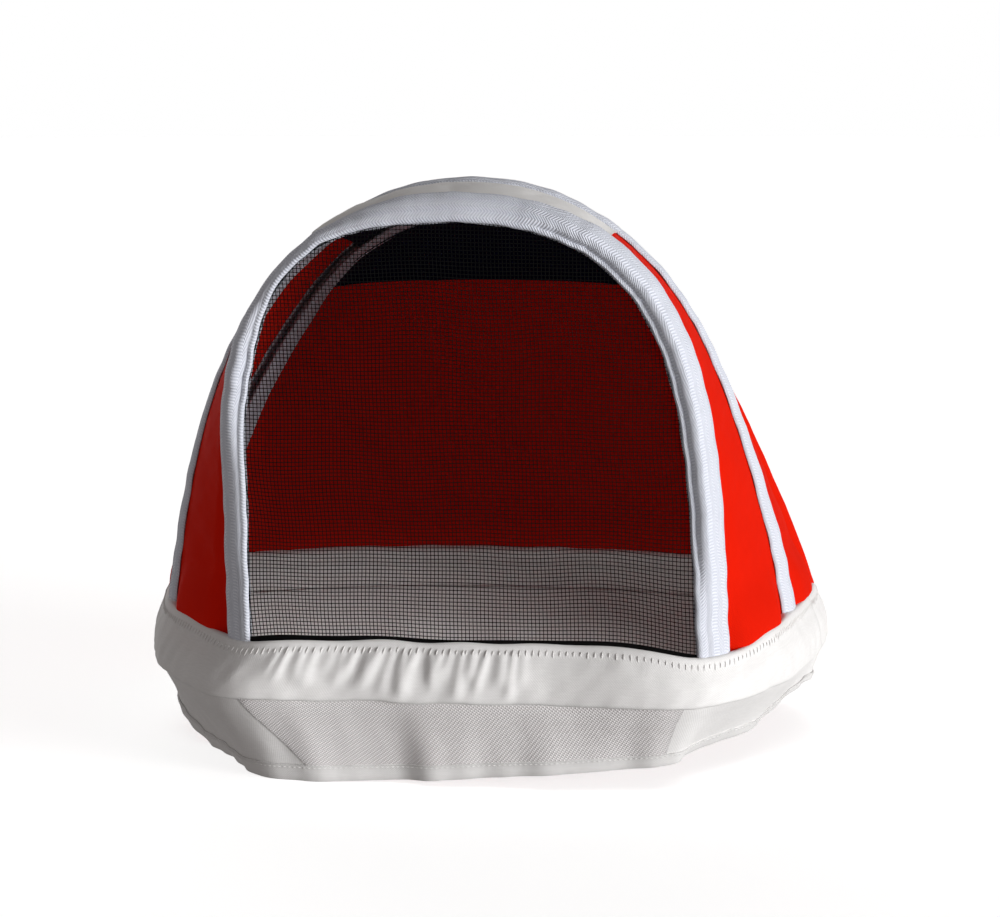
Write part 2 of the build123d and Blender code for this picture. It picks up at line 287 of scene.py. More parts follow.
def cloth_piece(name, grid, thickness, material, body, wrap=False):
    """A closed thin sheet about a grid of points."""
    rows, columns = grid.shape[:2]
    if wrap:
        padded = np.concatenate([grid[:, -1:], grid, grid[:, :1]], axis=1)
        normal = normals_of(padded)[:, 1:-1]
    else:
        normal = normals_of(grid)
    along, across = own_metres(grid)
    skins = np.stack([grid + normal * thickness / 2, grid - normal * thickness / 2])
    index = np.arange(2 * rows * columns).reshape(2, rows, columns)
    if wrap:
        index = np.concatenate([index, index[:, :, :1]], axis=2)
    outer, inner = index

    def quads(a, b, c, d):
        return np.stack([a.ravel(), b.ravel(), c.ravel(), d.ravel()], axis=1)

    faces = [
        quads(outer[:-1, :-1], outer[1:, :-1], outer[1:, 1:], outer[:-1, 1:]),
        quads(inner[:-1, :-1], inner[:-1, 1:], inner[1:, 1:], inner[1:, :-1]),
        quads(outer[0, :-1], outer[0, 1:], inner[0, 1:], inner[0, :-1]),
        quads(outer[-1, :-1], inner[-1, :-1], inner[-1, 1:], outer[-1, 1:]),
    ]
    if not wrap:
        faces.append(quads(outer[:-1, 0], inner[:-1, 0], inner[1:, 0], outer[1:, 0]))
        faces.append(quads(outer[:-1, -1], outer[1:, -1], inner[1:, -1], inner[:-1, -1]))
    border = np.minimum(across, across[-1] - across)
    if not wrap:
        ends = np.minimum(along - along[:, :1], along[:, -1:] - along)
        border = np.minimum(border, ends)
    # Weights for painted shade: 1 at the sheet's edges, where seams and overlapping tapes shade it, fading
    # inwards
    edge_shade = np.exp(-border / EDGE_REACH)
    cloth = np.stack([along, across], axis=2)
    faces = np.concatenate(faces)
    return add_piece(name, skins, faces, np.stack([cloth, cloth]), np.stack([edge_shade, edge_shade]), material, body)


def tube_faces(first, rings, sides):
    """The sides and both ends of a tube, whose rings of points are numbered from the first."""
    index = first + np.arange(rings * sides).reshape(rings, sides)
    ahead = np.roll(index, -1, axis=1)
    around = np.stack([index[:-1], ahead[:-1], ahead[1:], index[1:]], axis=2).reshape(-1, 4)
    return [*around.tolist(), index[0, ::-1].tolist(), index[-1].tolist()]


# Sets one tube's mottle apart from the next one's, in metres
TUBE_STEP = 0.01


def tube_piece(name, paths, radius, sides, reference, material, body):
    """Round tubes with closed ends along lists of points, all one object."""
    vertices, faces, cloth, first = [], [], [], 0
    turns = 2 * math.pi * (np.arange(sides) + 0.5) / sides
    for number, path in enumerate(paths):
        path = np.asarray(path, float)
        ahead = np.gradient(path, axis=0)
        ahead /= np.linalg.norm(ahead, axis=1)[:, None]
        level = np.cross(ahead, reference)
        level /= np.linalg.norm(level, axis=1)[:, None]
        upright = np.cross(level, ahead)
        ring = level[:, None] * np.cos(turns)[None, :, None] + upright[:, None] * np.sin(turns)[None, :, None]
        vertices.append((path[:, None] + ring * radius).reshape(-1, 3))
        faces.extend(tube_faces(first, len(path), sides))
        across = radius * turns[None] + number * TUBE_STEP
        own = np.stack(np.broadcast_arrays(run_along(path)[:, None], across), axis=2)
        cloth.append(own.reshape(-1, 2))
        first += len(path) * sides
    cloth = np.concatenate(cloth)
    return add_piece(name, np.concatenate(vertices), faces, cloth, np.zeros(len(cloth)), material, body)


STITCH_RINGS = ((0.0, -0.4, 0.35), (0.18, 0.5, 0.9), (0.5, 0.9, 1.0), (0.82, 0.5, 0.9), (1.0, -0.4, 0.35))
STITCH_SIDES = 6
STITCH_PITCH = 0.0032
STITCH_LENGTH = 0.0022
STITCH_RADIUS = 0.00028


def stitch_piece(name, starts, ends, outward, radius, body):
    """Short threads that dive into the cloth at both ends."""
    starts, ends, outward = (np.asarray(a, float) for a in (starts, ends, outward))
    ahead = ends - starts
    length = np.linalg.norm(ahead, axis=1, keepdims=True)
    sideways = np.cross(ahead / length, outward)
    sideways /= np.linalg.norm(sideways, axis=1, keepdims=True)
    turns = 2 * math.pi * np.arange(STITCH_SIDES) / STITCH_SIDES
    rings = []
    for share, rise, girth in STITCH_RINGS:
        centre = starts + ahead * share + outward * rise * radius
        across = sideways[:, None] * np.cos(turns)[None, :, None]
        upright = outward[:, None] * np.sin(turns)[None, :, None]
        rings.append(centre[:, None] + (across + upright) * radius * girth)
    vertices = np.stack(rings, axis=1)
    count, ring_count = len(starts), len(STITCH_RINGS)
    index = np.arange(count * ring_count * STITCH_SIDES).reshape(count, ring_count, STITCH_SIDES)
    ahead_index = np.roll(index, -1, axis=2)
    sides = np.stack([index[:, :-1], index[:, 1:], ahead_index[:, 1:], ahead_index[:, :-1]], axis=3)
    faces = sides.reshape(-1, 4).tolist() + index[:, 0].tolist() + index[:, -1, ::-1].tolist()
    run = np.array([share for share, _, _ in STITCH_RINGS])[None, :, None] * length[:, :, None]
    own = np.stack(np.broadcast_arrays(run, (radius * turns)[None, None]), axis=3)
    return add_piece(name, vertices, faces, own, np.zeros(own.size // 2), "sewing_thread", body)


def stitch_row(line, outward):
    """Start and end points of running stitches along a line of points, with their outward directions."""
    run = run_along(line)
    begin = np.arange(STITCH_PITCH / 2, run[-1] - STITCH_LENGTH, STITCH_PITCH)

    def at(values, where):
        return np.stack([np.interp(where, run, values[:, i]) for i in range(3)], axis=1)

    return at(line, begin), at(line, begin + STITCH_LENGTH), at(outward, begin + STITCH_LENGTH / 2)


# ---------------------------------------------------------------- materials

class Fabric:
    """A material's node tree, built by short calls."""

    def __init__(self, name):
        self.material = bpy.data.materials.new(name)
        self.material.use_nodes = True
        self.tree = self.material.node_tree
        self.shader = self.tree.nodes["Principled BSDF"]
        self.own = self.node("ShaderNodeAttribute", attribute_name="cloth").outputs["Vector"]
        parts = self.node("ShaderNodeSeparateXYZ")
        self.tree.links.new(self.own, parts.inputs[0])
        self.along, self.across = parts.outputs[0], parts.outputs[1]

    def node(self, kind, **settings):
        made = self.tree.nodes.new(kind)
        for key, value in settings.items():
            setattr(made, key, value)
        return made

    def feed(self, socket, value):
        if isinstance(value, bpy.types.NodeSocket):
            self.tree.links.new(value, socket)
        else:
            socket.default_value = value

    def math(self, operation, *values):
        made = self.node("ShaderNodeMath", operation=operation)
        for socket, value in zip(made.inputs, values):
            self.feed(socket, value)
        return made.outputs[0]

    def noise(self, scale, detail=3.0, roughness=0.55, stretch=(1.0, 1.0, 1.0)):
        """Noise over the cloth's own metres, with features about 1 / scale metres wide."""
        placed = self.node("ShaderNodeMapping")
        self.tree.links.new(self.own, placed.inputs["Vector"])
        placed.inputs["Scale"].default_value = stretch
        made = self.node("ShaderNodeTexNoise")
        self.tree.links.new(placed.outputs[0], made.inputs["Vector"])
        made.inputs["Scale"].default_value = scale
        made.inputs["Detail"].default_value = detail
        made.inputs["Roughness"].default_value = roughness
        return made.outputs["Fac"]

    def spread(self, value, low, high, to_low=0.0, to_high=1.0):
        made = self.node("ShaderNodeMapRange")
        for key, number in (("From Min", low), ("From Max", high), ("To Min", to_low), ("To Max", to_high)):
            made.inputs[key].default_value = number
        self.feed(made.inputs["Value"], value)
        return made.outputs[0]

    def blend(self, factor, dark, light, kind="MIX"):
        made = self.node("ShaderNodeMix", data_type="RGBA", blend_type=kind)
        self.feed(made.inputs[0], factor)
        self.feed(made.inputs[6], dark if isinstance(dark, bpy.types.NodeSocket) else (*dark, 1.0))
        self.feed(made.inputs[7], light if isinstance(light, bpy.types.NodeSocket) else (*light, 1.0))
        return made.outputs[2]

    def bump(self, height, distance, normal=None):
        made = self.node("ShaderNodeBump")
        made.inputs["Distance"].default_value = distance
        self.feed(made.inputs["Height"], height)
        if normal is not None:
            self.feed(made.inputs["Normal"], normal)
        return made.outputs[0]

    def wave(self, value, pitch):
        """0 to 1 and back over each pitch of metres."""
        turned = self.math("SINE", self.math("MULTIPLY", value, 2 * math.pi / pitch))
        return self.math("MULTIPLY_ADD", turned, 0.5, 0.5)


def plain_weave(fabric, pitch):
    """Warp over weft, in a chequer of raised threads."""
    over = fabric.math("SINE", fabric.math("MULTIPLY", fabric.along, math.pi / pitch))
    under = fabric.math("SINE", fabric.math("MULTIPLY", fabric.across, math.pi / pitch))
    return fabric.math("MULTIPLY_ADD", fabric.math("MULTIPLY", over, under), 0.5, 0.5)


def herringbone(fabric, pitch, stripe=0.0042):
    """Slanted ribs that turn back at each stripe across the tape."""
    turned = fabric.math("PINGPONG", fabric.across, stripe)
    return fabric.wave(fabric.math("ADD", fabric.along, fabric.math("MULTIPLY", turned, 0.8)), pitch)


def diamond_knit(fabric, pitch):
    """Two crossed sets of slanted ribs."""
    rising = fabric.wave(fabric.math("ADD", fabric.along, fabric.across), pitch)
    falling = fabric.wave(fabric.math("SUBTRACT", fabric.along, fabric.across), pitch)
    return fabric.math("MULTIPLY", rising, falling)


def twisted(fabric, pitch):
    """The slanted plies of a sewing thread."""
    return fabric.wave(fabric.math("ADD", fabric.along, fabric.across), pitch)


# The most that painted shade darkens a cloth along its edges
EDGE_SHADE_STRENGTH = 0.35
CREASE = 0.0006


def woven(name, colour, shade, pattern, pitch, relief, contrast, roughness, sheen, gloss):
    """A cloth: its pattern, the shade between its threads, a soft mottle, creases and painted shade, in
    patches, along its edges.
    """
    fabric = Fabric(name)
    height = pattern(fabric, pitch)
    slub = fabric.noise(900, 2, stretch=(0.15, 1.0, 1.0))
    mottle = fabric.noise(28, 4)
    weave = fabric.math("MULTIPLY", height, contrast)
    thread = fabric.math("ADD", weave, fabric.spread(slub, 0.3, 0.7, 0, 0.3))
    base = fabric.blend(fabric.spread(thread, 0, contrast + 0.3, 0.35, 1.0), shade, colour)
    uneven = fabric.blend(fabric.spread(mottle, 0.35, 0.75, 0.0, 0.22), base, shade)
    # Painted shade along the sheet's edges, in patches, towards a darker copy of the shade between threads
    edge = fabric.node("ShaderNodeAttribute", attribute_name="edge").outputs["Fac"]
    patchy = fabric.spread(fabric.noise(160, 3), 0.3, 0.7, 0.4 * EDGE_SHADE_STRENGTH, EDGE_SHADE_STRENGTH)
    painted_edge_shade = fabric.math("MULTIPLY", edge, patchy)
    with_edge_shade = fabric.blend(painted_edge_shade, uneven, tuple(0.45 * c for c in shade))
    fabric.feed(fabric.shader.inputs["Base Color"], with_edge_shade)
    matt = fabric.spread(slub, 0.25, 0.75, roughness - 0.08, roughness + 0.06)
    fabric.feed(fabric.shader.inputs["Roughness"], matt)
    fabric.shader.inputs["Sheen Weight"].default_value = sheen
    fabric.shader.inputs["Sheen Roughness"].default_value = 0.45
    fabric.shader.inputs["Specular IOR Level"].default_value = gloss
    creased = fabric.bump(fabric.noise(55, 5, 0.6, (1.0, 0.55, 1.0)), CREASE)
    fabric.feed(fabric.shader.inputs["Normal"], fabric.bump(height, relief, creased))
    return fabric.material


def steel(name):
    """Drawn spring steel with fine lines along it and faint tarnish."""
    fabric = Fabric(name)
    lines = fabric.noise(700, 3, stretch=(0.03, 1.0, 1.0))
    stain = fabric.noise(60, 4)
    tone = fabric.blend(fabric.spread(stain, 0.4, 0.75), (0.55, 0.56, 0.58), (0.34, 0.31, 0.28))
    fabric.feed(fabric.shader.inputs["Base Color"], tone)
    fabric.feed(fabric.shader.inputs["Roughness"], fabric.spread(lines, 0.3, 0.7, 0.26, 0.42))
    fabric.shader.inputs["Metallic"].default_value = 1.0
    fabric.feed(fabric.shader.inputs["Normal"], fabric.bump(lines, 0.00005))
    return fabric.material


def plastic(name):
    """Moulded white plastic with a fine orange-peel skin and scuffs."""
    fabric = Fabric(name)
    scuffs = fabric.noise(240, 4)
    tone = fabric.blend(fabric.spread(scuffs, 0.45, 0.8, 0.0, 0.4), (0.78, 0.78, 0.76), (0.50, 0.49, 0.46))
    fabric.feed(fabric.shader.inputs["Base Color"], tone)
    fabric.feed(fabric.shader.inputs["Roughness"], fabric.spread(scuffs, 0.3, 0.7, 0.38, 0.55))
    fabric.feed(fabric.shader.inputs["Normal"], fabric.bump(fabric.noise(1500, 2), 0.00003))
    return fabric.material


# Each slot's cloth: colour, shade between its threads, pattern, the pattern's pitch, relief and contrast,
# roughness, sheen, gloss
WOVENS = {
    "canvas": ((0.86, 0.855, 0.85), (0.66, 0.65, 0.64), plain_weave, 0.0008, 0.00008, 0.5, 0.86, 0.05, 0.12),
    "tape": ((0.83, 0.85, 0.92), (0.44, 0.48, 0.57), herringbone, 0.0019, 0.00030, 0.9, 0.8, 0.03, 0.12),
    "red_cotton": (
        (0.75, 0.013, 0.002), (0.54, 0.006, 0.001), plain_weave, 0.0009, 0.00008, 0.5, 0.9, 0.0, 0.03,
    ),
    "navy_lining": (
        (0.003, 0.003, 0.022), (0.002, 0.002, 0.012), plain_weave, 0.0006, 0.00004, 0.5, 0.7, 0.0, 0.03,
    ),
    "knit": ((0.84, 0.82, 0.82), (0.60, 0.58, 0.58), diamond_knit, 0.0024, 0.00030, 0.8, 0.9, 0.05, 0.12),
    "black_net": (
        (0.007, 0.007, 0.007), (0.003, 0.003, 0.003), twisted, 0.0012, 0.00004, 0.6, 0.8, 0.0, 0.03,
    ),
    "sewing_thread": ((0.86, 0.85, 0.84), (0.58, 0.57, 0.56), twisted, 0.0007, 0.00008, 0.8, 0.6, 0.05, 0.12),
}
materials = {name: woven(name, *values) for name, values in WOVENS.items()}
materials["spring_steel"] = steel("spring_steel")
materials["cap_plastic"] = plastic("cap_plastic")



# ---------------------------------------------------------------- the collar's fold

COLLAR_TOP_Z = 0.0905
# The band's profile from its seam up the outside, over the fold and down inside: height, side, end, inset
BAND_PROFILE = (
    (0.0555, 0.0104, 0.0082, 0.0008), (0.0560, 0.0118, 0.0090, 0.0), (0.0600, 0.0126, 0.0092, 0.0),
    (0.0670, 0.0122, 0.0084, 0.0), (0.0760, 0.0098, 0.0068, 0.0), (0.0840, 0.0062, 0.0032, 0.0),
    (0.0892, 0.0040, 0.0012, 0.0), (0.0905, 0.0036, 0.0009, 0.0010), (0.0894, 0.0038, 0.0010, 0.0021),
    (0.0840, 0.0060, 0.0030, 0.0021), (0.0770, 0.0092, 0.0062, 0.0022),
)
FOLD_MIDDLE = 0.00105
TUCK_REACH_Z = 0.126
FOLD_LOOP = ring_row(np.linspace(0, 1, 2000, endpoint=False), 0.0, 0.0, -FOLD_MIDDLE)
FOLD_LOOP = FOLD_LOOP[np.argsort(np.arctan2(FOLD_LOOP[:, 1], FOLD_LOOP[:, 0]))]


def tucked(points):
    """Points of a panel, whose lower edge is led between the two layers of the collar's fold."""
    x, y, z = points[..., 0], points[..., 1], points[..., 2]
    turn = np.arctan2(y, x)
    turns = np.arctan2(FOLD_LOOP[:, 1], FOLD_LOOP[:, 0])
    fold_x = np.interp(turn, turns, FOLD_LOOP[:, 0], period=2 * math.pi)
    fold_y = np.interp(turn, turns, FOLD_LOOP[:, 1], period=2 * math.pi)
    heights, sides, ends, _ = np.array(BAND_PROFILE[6:2:-1])[::-1].T
    side = np.interp(z, heights, sides)
    end = np.interp(z, heights, ends)
    fold_x = fold_x * (1 + side / RING_HALF_WIDTH)
    fold_y = RING_CENTRE_Y + (fold_y - RING_CENTRE_Y) * (1 + end / RING_HALF_DEPTH)
    near = 1 - smooth_step(COLLAR_TOP_Z, TUCK_REACH_Z, z)
    for hoop_y, start, full in ((FRONT_Y, 0.009, 0.026), (MIDDLE_Y, 0.012, 0.036), (REAR_Y, 0.012, 0.036)):
        near = near * smooth_step(start, full, np.abs(y - hoop_y))
    return np.stack([x + (fold_x - x) * near, y + (fold_y - y) * near, z], axis=-1)


# ---------------------------------------------------------------- finished pieces, which take the place of the CAD parts


def settle(piece, node=None):
    """Hides the CAD part that a finished piece stands in for, and gives the piece its own copy of its mesh.
    """
    if node:
        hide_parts(node)
    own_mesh(piece)


def sheet(name, grid, thickness, slot, body, node, wrap=False):
    """A settled cloth piece, of the material that its slot is named after."""
    settle(cloth_piece(name, grid, thickness, slot, body, wrap), node)


def sew(name, seams, body):
    """Settled running stitches along seams, each a line of points with its outward directions."""
    rows = [stitch_row(line, outward) for line, outward in seams]
    starts, ends, outward = (np.concatenate(group) for group in zip(*rows))
    settle(stitch_piece(name, starts, ends, outward, STITCH_RADIUS, body))


# ---------------------------------------------------------------- hoops

ROD_RADIUS = 0.002
FOOT_OVERRUN = 0.0125
# A foot cap's height along the rod and its radius
CAP_PROFILE = (
    (-0.0055, 0.0005), (-0.0055, 0.0026), (-0.0047, 0.0034), (-0.001, 0.0035), (0.0055, 0.0035),
    (0.0065, 0.0032), (0.0066, 0.0022),
)
HOOPS = (
    ("front", FRONT_Y, -0.001, "front_frame"),
    ("middle", MIDDLE_Y, 0.0, "collar"),
    ("rear", REAR_Y, 0.0, "rear_frame"),
)


def foot_caps(name, feet, body):
    """A turned cap on each foot of a hoop: feet are (tip, direction up the rod)."""
    vertices, faces, own, sides, first = [], [], [], 20, 0
    turns = 2 * math.pi * np.arange(sides) / sides
    for tip, up in feet:
        side = np.array((0.0, 1.0, 0.0))
        level = np.cross(up, side)
        for height, radius in CAP_PROFILE:
            circle = level * np.cos(turns)[:, None] + side * np.sin(turns)[:, None]
            vertices.append(tip + up * height + circle * radius)
            own.append(np.stack([np.full(sides, height), radius * turns], axis=1))
        faces.extend(tube_faces(first, len(CAP_PROFILE), sides))
        first += len(CAP_PROFILE) * sides
    own = np.concatenate(own)
    return add_piece(name, np.concatenate(vertices), faces, own, np.zeros(len(own)), "cap_plastic", body)


def hoops():
    overrun = FOOT_OVERRUN / ARCH_LENGTH
    for name, y, offset, body in HOOPS:
        line = hood_row(y, y, np.linspace(-overrun, 1 + overrun, 260), offset)
        rod = tube_piece(f"{name}_hoop_rod", [line], ROD_RADIUS, 14, (0, 1, 0), "spring_steel", body)
        settle(rod, f"{name}_hoop")
        feet = []
        for tip, inner in ((line[0], line[4]), (line[-1], line[-5])):
            up = (inner - tip) / np.linalg.norm(inner - tip)
            feet.append((tip, up))
        caps = foot_caps(f"{name}_hoop_caps", feet, body)
        settle(caps, f"{name}_foot_caps")


# ---------------------------------------------------------------- tapes over the hoops

ARCH_SHARES = np.linspace(-0.008, 1.008, 420)
TAPE_ROWS = 34

# Cross-sections as (depth from the hoop, outward offset), from front edge to rear edge
# The front tape turns from the veil round to the gores.
# It is straight at its feet, stands up as a ridge along
# its sides and its top, and lies back over the hoop at the right shoulder
FRONT_FOOT_SECTION = (
    (-0.0100, -0.0096), (-0.0112, -0.0092), (-0.0118, -0.0082), (-0.0115, -0.0072), (-0.0109, -0.0063),
    (-0.0102, -0.0050), (-0.0088, -0.0034), (-0.0068, -0.0010), (-0.0044, 0.0018), (-0.0020, 0.0040),
    (0.0005, 0.0054), (0.0036, 0.0061), (0.0056, 0.0058), (0.0072, 0.0064), (0.0084, 0.0062),
    (0.0088, 0.0050),
)
FRONT_RIDGE_SECTION = (
    (-0.0098, -0.0096), (-0.0112, -0.0093), (-0.0119, -0.0084), (-0.0116, -0.0074), (-0.0108, -0.0065),
    (-0.0122, -0.0050), (-0.0138, -0.0030), (-0.0140, -0.0004), (-0.0116, 0.0022), (-0.0072, 0.0043),
    (-0.0022, 0.0056), (0.0030, 0.0062), (0.0055, 0.0057), (0.0072, 0.0065), (0.0084, 0.0063),
    (0.0088, 0.0050),
)
FRONT_LYING_SECTION = (
    (-0.0098, -0.0046), (-0.0112, -0.0043), (-0.0119, -0.0034), (-0.0116, -0.0025), (-0.0108, -0.0018),
    (-0.0100, -0.0008), (-0.0082, 0.0002), (-0.0060, 0.0011), (-0.0040, 0.0018), (-0.0018, 0.0022),
    (0.0008, 0.0021), (0.0036, 0.0012), (0.0056, 0.0003), (0.0072, 0.0004), (0.0084, 0.0000),
    (0.0088, -0.0012),
)
FRONT_INNER_SECTION = (
    (-0.0080, -0.0104), (-0.0045, -0.0078), (0.0, -0.0046), (0.0050, -0.0004), (0.0088, 0.0030),
)
FRONT_INNER_LYING_SECTION = (
    (-0.0084, -0.0060), (-0.0045, -0.0050), (0.0, -0.0046), (0.0050, -0.0034), (0.0088, -0.0022),
)
# How far the bay's front edge lies out from the front hoop's outline, under the tape: standing, lying
FRONT_EDGE_OFFSETS = (0.0036, -0.0016)
CROWN_EXTRA_LIFT = 0.0008
# The tape's outer edge stands further out down the wearer's left side
LEFT_FLARE = 0.0024
FLAT_OUTER_SECTION = (
    (-0.0122, 0.0010), (-0.0118, 0.0020), (-0.0102, 0.0022), (-0.0096, 0.0017), (-0.0086, 0.0023),
    (-0.0050, 0.0032), (0.0, 0.0041), (0.0050, 0.0032), (0.0086, 0.0023), (0.0096, 0.0017),
    (0.0102, 0.0022), (0.0118, 0.0020), (0.0122, 0.0010),
)
FLAT_INNER_SECTION = (
    (-0.0120, -0.0044), (-0.0104, -0.0047), (-0.0096, -0.0042), (-0.0050, -0.0048), (0.0, -0.0056),
    (0.0050, -0.0048), (0.0096, -0.0042), (0.0104, -0.0047), (0.0120, -0.0044),
)


def lying(shares):
    """How far the front tape lies back over its hoop, 0 to 1, along the arch."""
    return smooth_step(0.235, 0.335, shares) * (1 - smooth_step(0.365, 0.475, shares))


def standing(shares):
    """How far the front tape stands up as a ridge: 0 at its feet, most along its sides, little at its top."""
    right = 0.25 * smooth_step(0.030, 0.110, shares) + 0.75 * smooth_step(0.130, 0.240, shares)
    top = smooth_step(0.36, 0.42, shares) * (1 - smooth_step(0.54, 0.62, shares))
    return np.minimum(right, smooth_step(0.030, 0.110, 1 - shares)) * (1 - 0.85 * top)


def flare(shares):
    """How far the front tape's outer edge stands out, on the wearer's left side."""
    return LEFT_FLARE * smooth_step(0.66, 0.88, shares)


def tape_grid(hoop_y, sections, fixed_outline, seed):
    """A tape along a whole hoop, with an uneven edge. Three sections are its feet, run and shoulder."""
    profiles = [spline(section, np.linspace(0, 1, TAPE_ROWS)) for section in sections]
    run_metres = ARCH_SHARES * ARCH_LENGTH
    shift = 0.0004 * ripples(run_metres, 0.0, 0.05, seed) + 0.0002 * ripples(run_metres, 0.0, 0.012, seed + 2)
    rise = 0.00035 * ripples(run_metres, 0.0, 0.03, seed + 1)
    if len(sections) == 1:
        foot = run = shoulder = profiles[0]
    else:
        foot, run, shoulder = profiles
    upright = standing(ARCH_SHARES)[:, None]
    leaning = lying(ARCH_SHARES)[:, None]
    rows = []
    for row in range(TAPE_ROWS):
        placed = (foot[row] + (run[row] - foot[row]) * upright) * (1 - leaning) + shoulder[row] * leaning
        depth, offset = placed[:, 0], placed[:, 1]
        if fixed_outline:
            offset = offset + flare(ARCH_SHARES) * smooth_step(-0.004, 0.006, depth)
            points = hood_row(hoop_y, hoop_y, ARCH_SHARES, offset + rise)
        else:
            points = hood_row(hoop_y, hoop_y + depth[0], ARCH_SHARES, offset + rise)
        points[:, 1] = hoop_y + depth + shift
        rows.append(points)
    return np.array(rows)


def tape_seams(grid, rows, side):
    """The stitched rows of a tape, on its outside at side 1 or its inside at side -1."""
    normal = normals_of(grid) * side
    return [(grid[row] + normal[row] * TAPE / 2, normal[row]) for row in rows]


def tapes():
    for name, y, _, body in HOOPS:
        front = name == "front"
        outer_sections, inner_sections = (FLAT_OUTER_SECTION,), (FLAT_INNER_SECTION,)
        if front:
            outer_sections = FRONT_FOOT_SECTION, FRONT_RIDGE_SECTION, FRONT_LYING_SECTION
            inner_sections = FRONT_INNER_SECTION, FRONT_INNER_SECTION, FRONT_INNER_LYING_SECTION
        first_row = 4 if front else 5
        outer = tape_grid(y, outer_sections, front, 11)
        sheet(f"{name}_tape", outer, TAPE, "tape", body, f"{name}_tape_outer")
        sew(f"{name}_tape_stitches", tape_seams(outer, (first_row, TAPE_ROWS - 6), 1), body)
        inner = tape_grid(y, inner_sections, front, 17)
        sheet(f"{name}_tape_lining", inner, TAPE, "tape", body, f"{name}_tape_inner")
        sew(f"{name}_tape_lining_stitches", tape_seams(inner, (4, TAPE_ROWS - 5), -1), body)


# ---------------------------------------------------------------- gores and crown

GORE_END = CROWN_START + 0.004
BAY_ROWS = 44
GORE_COLUMNS = 170
CROWN_COLUMNS = 130
GORE_BULGE = -0.0006
CROWN_BULGE = 0.0015
CROWN_LINING_DROP = -0.0026
# The cloth starts this far from a hoop, under the edge of its tape
TAPE_EDGE = 0.0105
# The rear bay's cloth laps over the front half of the rear tape
REAR_LAP = 0.0052
# Bays between hoops: name, front and rear edges, body, the tape that it rests on
BAYS = (
    ("front", FRONT_Y + 0.0060, MIDDLE_Y - TAPE_EDGE, "collar", "front_tape"),
    ("rear", MIDDLE_Y + TAPE_EDGE, REAR_Y + 0.0020, "rear_frame", "rear_tape"),
)


def bay_offset(front_y, rear_y, shares, bulge, seed, lap, over):
    """How far a bay's cloth lies off the hood's surface, with tension ripples from hoop to hoop."""
    v = np.linspace(0, 1, BAY_ROWS)[:, None]
    u = shares[None, :] * ARCH_LENGTH
    middle = np.sin(math.pi * v)
    low = 0.00045 * ripples(u, v * (rear_y - front_y), 0.035, seed) * middle
    fine = 0.00018 * ripples(u, v * (rear_y - front_y), 0.013, seed + 1, 0.5) * middle
    return bulge * middle + low + fine + over + lap * smooth_step(0.76, 0.90, v)


def under_front_tape(ys, shares):
    """How far the front bay's cloth moves off the surface to start under the front tape's rear edge."""
    home = hood_row(0.0, FRONT_Y, shares, 0.0)
    outward = hood_row(0.0, FRONT_Y, shares, 1.0) - home
    growth = np.array([np.sum((hood_row(0.0, y, shares, 0.0) - home) * outward, axis=1) for y in ys])
    standing_out, lain = FRONT_EDGE_OFFSETS
    edge = standing_out + (lain - standing_out) * lying(shares) + flare(shares)
    v = np.linspace(0, 1, len(ys))[:, None]
    return (edge[None, :] - growth) * (1 - smooth_step(0.035, 0.30, v))


def bay_grid(bay, front_y, rear_y, shares, bulge, seed, over):
    """A bay's cloth from its front edge to its rear edge."""
    ys = np.linspace(front_y, rear_y, BAY_ROWS)
    lap = REAR_LAP if bay == "rear" else 0.0
    offset = bay_offset(front_y, rear_y, shares, bulge, seed, lap, over)
    if bay == "front":
        offset = offset + under_front_tape(ys, shares)
    return tucked(hood_grid(ys, shares, offset))


def gores(bay, front_y, rear_y, body):
    for side, start, end, seed in (("right", -0.008, GORE_END, 31), ("left", 1 - GORE_END, 1.008, 23)):
        shares = np.linspace(start, end, GORE_COLUMNS)
        grid = bay_grid(bay, front_y, rear_y, shares, GORE_BULGE, seed, 0.0)
        node = f"{bay}_gore_{side}"
        sheet(f"{node}_cloth", grid, CLOTH, "red_cotton", body, node)


def crown(bay, front_y, rear_y, body):
    shares = np.linspace(CROWN_START - 0.003, 1 - CROWN_START + 0.003, CROWN_COLUMNS)
    grid = bay_grid(bay, front_y, rear_y, shares, CROWN_BULGE, 41, CROWN_EXTRA_LIFT)
    sheet(f"{bay}_crown_cloth", grid, CLOTH, "canvas", body, f"crown_{bay}")
    normal = normals_of(grid)
    edges = (3, CROWN_COLUMNS - 4)
    seams = [(grid[:, edge] + normal[:, edge] * CLOTH / 2, normal[:, edge]) for edge in edges]
    sew(f"{bay}_crown_stitches", seams, body)
    across = np.linspace(0, 0.08, BAY_ROWS)[:, None]
    lining_offset = CROWN_LINING_DROP + 0.0005 * ripples(shares[None, :] * ARCH_LENGTH, across, 0.03, 47)
    lining_ys = np.linspace(front_y, min(rear_y, REAR_Y - TAPE_EDGE), BAY_ROWS)
    if bay == "front":
        lining_offset = lining_offset + np.minimum(under_front_tape(lining_ys, shares), 0.0)
    grid = hood_grid(lining_ys, shares, lining_offset)
    node, outside = f"crown_lining_{bay}", [f"{bay}_crown_cloth"]
    sheet(f"{bay}_crown_lining_cloth", grid, LINING, "navy_lining", body, node)


def gores_and_crown():
    for bay, front_y, rear_y, body, rests_on in BAYS:
        gores(bay, front_y, rear_y, body)
        crown(bay, front_y, rear_y, body)


# ---------------------------------------------------------------- back panel and crown cap

BACK_LEVELS = (
    (0.089, 0.092), (0.130, 0.103), (0.170, 0.1084), (0.210, 0.105), (0.250, 0.093), (0.283, 0.076),
)
BACK_BOTTOM_Z = 0.0835
CAP_EDGE_Z = 0.2815
CAP_EDGE_DEPTH = 0.0782
BACK_TOP_Z = 0.2865
PANEL_TOP_INSET = 0.014
